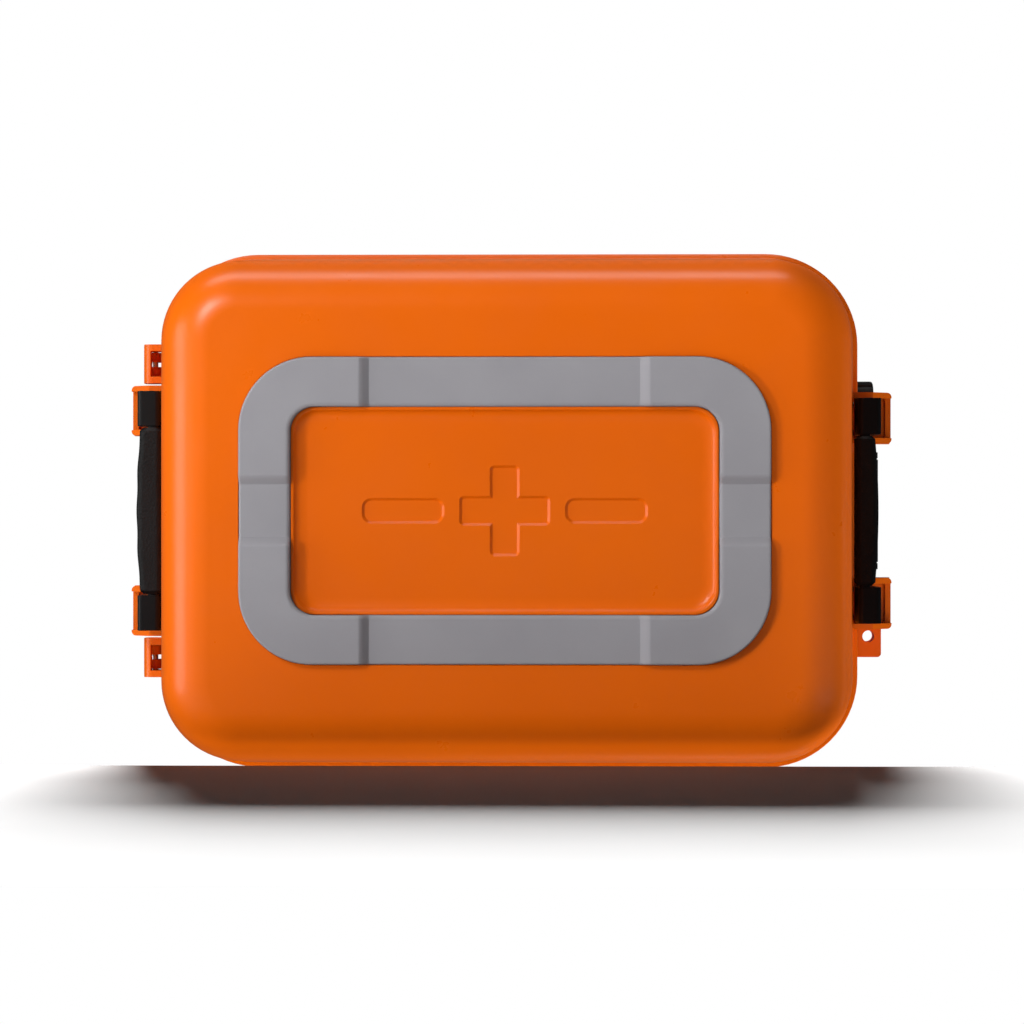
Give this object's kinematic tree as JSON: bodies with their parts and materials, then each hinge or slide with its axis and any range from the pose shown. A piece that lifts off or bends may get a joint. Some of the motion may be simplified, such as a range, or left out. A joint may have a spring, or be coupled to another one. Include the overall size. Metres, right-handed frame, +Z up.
{
  "type": "hard first aid case",
  "caption": "Hard case on its base with hinged lid, swinging end handles, end latch, lift-out tray and a raised-corner foot ring.",
  "frame": {"origin": "centre of the overall box at the level of the feet", "axes": "+Z up through the lid, +X along the case towards the latch end, +Y towards the side with the padlock lug"},
  "size_m": [0.398, 0.271, 0.216],
  "materials": {
    "shell_orange": "fine moulded texture, satin",
    "foot_rubber": "matt",
    "black_nylon": "satin",
    "grip_rubber": "matt, pebbled",
    "steel": "brushed",
    "gasket_rubber": "matt",
    "tray_plastic": "satin"
  },
  "bodies": {
    "case": {"lower_shell": "shell_orange", "foot_ring": "foot_rubber", "hinge_bracket_rear": "shell_orange", "hinge_bracket_front": "shell_orange", "left_guard_rear": "shell_orange", "left_guard_front": "shell_orange", "right_guard_rear": "shell_orange", "right_guard_front": "shell_orange", "left_guard_rear_screw_inner": "steel", "left_guard_rear_screw_outer": "steel", "left_guard_front_screw_inner": "steel", "left_guard_front_screw_outer": "steel", "right_guard_rear_screw_inner": "steel", "right_guard_rear_screw_outer": "steel", "right_guard_front_screw_inner": "steel", "right_guard_front_screw_outer": "steel", "left_pivot_pin_rear": "steel", "left_pivot_pin_front": "steel", "right_pivot_pin_rear": "steel", "right_pivot_pin_front": "steel", "hinge_pin_rear": "steel", "hinge_pin_front": "steel", "latch_base": "black_nylon", "latch_pin": "steel", "latch_screw_rear": "steel", "latch_screw_front": "steel"},
    "lid": {"lid_shell": "shell_orange", "lid_gasket": "gasket_rubber", "valve_body": "black_nylon"},
    "knob": {"valve_knob": "black_nylon"},
    "handle_left": {"left_handle": "black_nylon", "left_grip": "grip_rubber"},
    "handle_right": {"right_handle": "black_nylon", "right_grip": "grip_rubber"},
    "lever": {"latch_lever": "black_nylon"},
    "tray_body": {"tray": "tray_plastic"}
  },
  "joints": [
    {"name": "lid_hinge", "type": "hinge", "parent": "case", "child": "lid", "pos_m": [-0.1909, 0, 0.16515], "axis": [0, -1, 0], "range_deg": [0, 105]},
    {"name": "left_handle_swing", "type": "hinge", "parent": "case", "child": "handle_left", "pos_m": [-0.185, 0, 0.132], "axis": [0, 1, 0], "range_deg": [0, 90]},
    {"name": "right_handle_swing", "type": "hinge", "parent": "case", "child": "handle_right", "pos_m": [0.185, 0, 0.132], "axis": [0, -1, 0], "range_deg": [0, 90]},
    {"name": "latch_swing", "type": "hinge", "parent": "case", "child": "lever", "pos_m": [0.1893, 0, 0.1505], "axis": [0, 1, 0], "range_deg": [0, 90]},
    {"name": "valve_turn", "type": "hinge", "parent": "lid", "child": "knob", "pos_m": [0.1824, -0.0593, 0.1902], "axis": [1, 0, 0], "range_deg": [0, 180]},
    {"name": "tray_lift", "type": "slide", "parent": "case", "child": "tray_body", "axis": [0, 0, 1], "range_m": [0, 0.026]}
  ]
}
